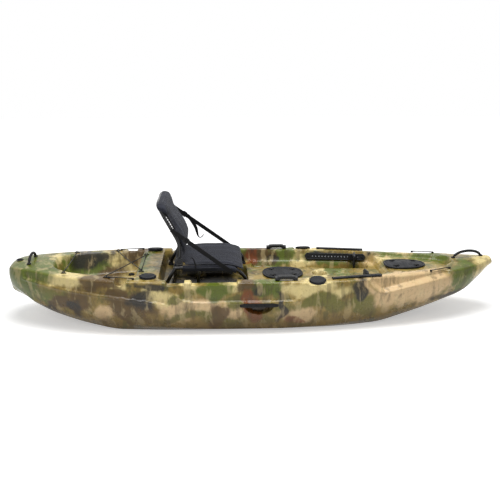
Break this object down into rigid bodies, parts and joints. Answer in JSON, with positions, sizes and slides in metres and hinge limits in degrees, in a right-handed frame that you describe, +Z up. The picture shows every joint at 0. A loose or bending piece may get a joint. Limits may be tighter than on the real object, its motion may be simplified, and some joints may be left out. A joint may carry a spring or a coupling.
{
  "type": "sit-on-top fishing kayak",
  "caption": "Sit-on-top fishing kayak with a raised folding seat, hatches, flush rod holders, sliding foot braces, gear tracks and a tank well laced with shock cord.",
  "frame": {"origin": "on the ground under the middle of the hull, half way between bow and stern", "axes": "+X towards the bow, +Y to port, +Z up"},
  "size_m": [3.05, 0.815, 0.7713],
  "materials": {
    "camo_polyethylene": "satin rotomoulded polyethylene, blotched green, tan and brown",
    "black_plastic": "fine textured",
    "grey_plastic": "satin moulded",
    "rubber": "matte",
    "anodised_aluminium": "black anodised",
    "shock_cord": "braided",
    "powder_coat": "black powder coat on aluminium tube",
    "seat_fabric": "woven polyester, piped edges",
    "webbing": "woven webbing"
  },
  "bodies": {
    "hull_body": {"hull": "camo_polyethylene", "bow_hatch_rim": "black_plastic", "centre_hatch_rim": "black_plastic", "rod_holder_rear_port": "black_plastic", "rod_holder_rear_starboard": "black_plastic", "rod_holder_front_port": "black_plastic", "rod_holder_front_starboard": "black_plastic", "gear_track_port": "anodised_aluminium", "gear_track_starboard": "anodised_aluminium", "grab_handle_port": "black_plastic", "grab_handle_starboard": "black_plastic", "foot_rail_port": "black_plastic", "foot_rail_starboard": "black_plastic", "pad_eye_1_port": "black_plastic", "pad_eye_1_starboard": "black_plastic", "pad_eye_2_port": "black_plastic", "pad_eye_2_starboard": "black_plastic", "pad_eye_3_port": "black_plastic", "pad_eye_3_starboard": "black_plastic", "bungee_rear": "shock_cord", "bungee_lace": "shock_cord", "paddle_keeper_rear_port": "rubber", "paddle_keeper_rear_starboard": "rubber", "paddle_keeper_front_port": "rubber", "paddle_keeper_front_starboard": "rubber", "bow_handle": "rubber", "stern_handle": "rubber", "side_handle_port": "rubber", "side_handle_starboard": "rubber"},
    "seat_base": {"seat_frame": "powder_coat", "seat_pan": "seat_fabric", "seat_pivot_port": "black_plastic", "seat_pivot_starboard": "black_plastic"},
    "seat_back": {"seat_back_frame": "powder_coat", "seat_back_pad": "seat_fabric", "seat_strap_port": "webbing", "seat_strap_starboard": "webbing", "strap_buckle_port": "black_plastic", "strap_buckle_starboard": "black_plastic"},
    "bow_lid": {"bow_hatch_lid": "grey_plastic"},
    "bow_latch_1": {"bow_hatch_latch_1": "black_plastic"},
    "bow_latch_2": {"bow_hatch_latch_2": "black_plastic"},
    "bow_latch_3": {"bow_hatch_latch_3": "black_plastic"},
    "bow_latch_4": {"bow_hatch_latch_4": "black_plastic"},
    "centre_lid": {"centre_hatch_lid": "grey_plastic"},
    "centre_latch_1": {"centre_hatch_latch_1": "black_plastic"},
    "centre_latch_2": {"centre_hatch_latch_2": "black_plastic"},
    "centre_latch_3": {"centre_hatch_latch_3": "black_plastic"},
    "centre_latch_4": {"centre_hatch_latch_4": "black_plastic"},
    "rod_cap_rear_port": {"rod_cap_rear_port": "grey_plastic"},
    "rod_cap_rear_starboard": {"rod_cap_rear_starboard": "grey_plastic"},
    "rod_cap_front_port": {"rod_cap_front_port": "grey_plastic"},
    "rod_cap_front_starboard": {"rod_cap_front_starboard": "grey_plastic"},
    "pedal_port": {"foot_pedal_port": "black_plastic"},
    "pedal_starboard": {"foot_pedal_starboard": "black_plastic"},
    "scupper_tank_port": {"scupper_plug_tank_port": "rubber"},
    "scupper_tank_starboard": {"scupper_plug_tank_starboard": "rubber"},
    "scupper_leg_port": {"scupper_plug_leg_port": "rubber"},
    "scupper_leg_starboard": {"scupper_plug_leg_starboard": "rubber"},
    "drain": {"drain_plug": "black_plastic"}
  },
  "joints": [
    {"name": "seat_lift", "type": "slide", "parent": "hull_body", "child": "seat_base", "axis": [0, 0, 1], "range_m": [0, 0.15]},
    {"name": "seat_fold", "type": "hinge", "parent": "seat_base", "child": "seat_back", "pos_m": [-0.46604, 0, 0.41], "axis": [0, 1, 0], "range_deg": [0, 65], "deforming": ["seat_strap_port", "seat_strap_starboard"]},
    {"name": "bow_hatch_lift", "type": "slide", "parent": "hull_body", "child": "bow_lid", "axis": [0, 0, 1], "range_m": [0, 0.06]},
    {"name": "bow_latch_1_turn", "type": "hinge", "parent": "bow_lid", "child": "bow_latch_1", "pos_m": [0.89144, 0.055, 0.297], "axis": [0, 0, 1], "range_deg": [0, 90]},
    {"name": "bow_latch_2_turn", "type": "hinge", "parent": "bow_lid", "child": "bow_latch_2", "pos_m": [0.89144, -0.055, 0.297], "axis": [0, 0, 1], "range_deg": [0, 90]},
    {"name": "bow_latch_3_turn", "type": "hinge", "parent": "bow_lid", "child": "bow_latch_3", "pos_m": [1.02244, 0.0473, 0.297], "axis": [0, 0, 1], "range_deg": [0, 90]},
    {"name": "bow_latch_4_turn", "type": "hinge", "parent": "bow_lid", "child": "bow_latch_4", "pos_m": [1.02244, -0.0473, 0.297], "axis": [0, 0, 1], "range_deg": [0, 90]},
    {"name": "centre_hatch_lift", "type": "slide", "parent": "hull_body", "child": "centre_lid", "axis": [0, 0, 1], "range_m": [0, 0.06]},
    {"name": "centre_latch_1_turn", "type": "hinge", "parent": "centre_lid", "child": "centre_latch_1", "pos_m": [0.10854, 0.0624, 0.251], "axis": [0, 0, 1], "range_deg": [0, 90]},
    {"name": "centre_latch_2_turn", "type": "hinge", "parent": "centre_lid", "child": "centre_latch_2", "pos_m": [0.10854, -0.0624, 0.251], "axis": [0, 0, 1], "range_deg": [0, 90]},
    {"name": "centre_latch_3_turn", "type": "hinge", "parent": "centre_lid", "child": "centre_latch_3", "pos_m": [0.2416, 0.05366, 0.251], "axis": [0, 0, 1], "range_deg": [0, 90]},
    {"name": "centre_latch_4_turn", "type": "hinge", "parent": "centre_lid", "child": "centre_latch_4", "pos_m": [0.2416, -0.05366, 0.251], "axis": [0, 0, 1], "range_deg": [0, 90]},
    {"name": "rod_cap_rear_port_flip", "type": "hinge", "parent": "hull_body", "child": "rod_cap_rear_port", "pos_m": [-0.69596, 0.30131, 0.34531], "axis": [0, -0.9903, 0.1392], "range_deg": [0, 100]},
    {"name": "rod_cap_rear_starboard_flip", "type": "hinge", "parent": "hull_body", "child": "rod_cap_rear_starboard", "pos_m": [-0.69596, -0.30131, 0.34531], "axis": [0, -0.9903, -0.1392], "range_deg": [0, 100]},
    {"name": "rod_cap_front_port_flip", "type": "hinge", "parent": "hull_body", "child": "rod_cap_front_port", "pos_m": [0.30094, 0.35582, 0.32359], "axis": [0, -0.9135, 0.4067], "range_deg": [0, 100]},
    {"name": "rod_cap_front_starboard_flip", "type": "hinge", "parent": "hull_body", "child": "rod_cap_front_starboard", "pos_m": [0.30094, -0.35582, 0.32359], "axis": [0, -0.9135, -0.4067], "range_deg": [0, 100]},
    {"name": "foot_pedal_port_slide", "type": "slide", "parent": "hull_body", "child": "pedal_port", "axis": [0.9912, -0.1322, 0], "range_m": [-0.24, 0.018]},
    {"name": "foot_pedal_starboard_slide", "type": "slide", "parent": "hull_body", "child": "pedal_starboard", "axis": [0.9912, 0.1322, 0], "range_m": [-0.24, 0.018]},
    {"name": "scupper_plug_tank_port_lift", "type": "slide", "parent": "hull_body", "child": "scupper_tank_port", "axis": [0, 0, 1], "range_m": [0, 0.06]},
    {"name": "scupper_plug_tank_starboard_lift", "type": "slide", "parent": "hull_body", "child": "scupper_tank_starboard", "axis": [0, 0, 1], "range_m": [0, 0.06]},
    {"name": "scupper_plug_leg_port_lift", "type": "slide", "parent": "hull_body", "child": "scupper_leg_port", "axis": [0, 0, 1], "range_m": [0, 0.06]},
    {"name": "scupper_plug_leg_starboard_lift", "type": "slide", "parent": "hull_body", "child": "scupper_leg_starboard", "axis": [0, 0, 1], "range_m": [0, 0.06]},
    {"name": "drain_plug_turn", "type": "hinge", "parent": "hull_body", "child": "drain", "pos_m": [-1.464, 0, 0.36], "axis": [0, 0, 1], "range_deg": [0, 360]}
  ]
}
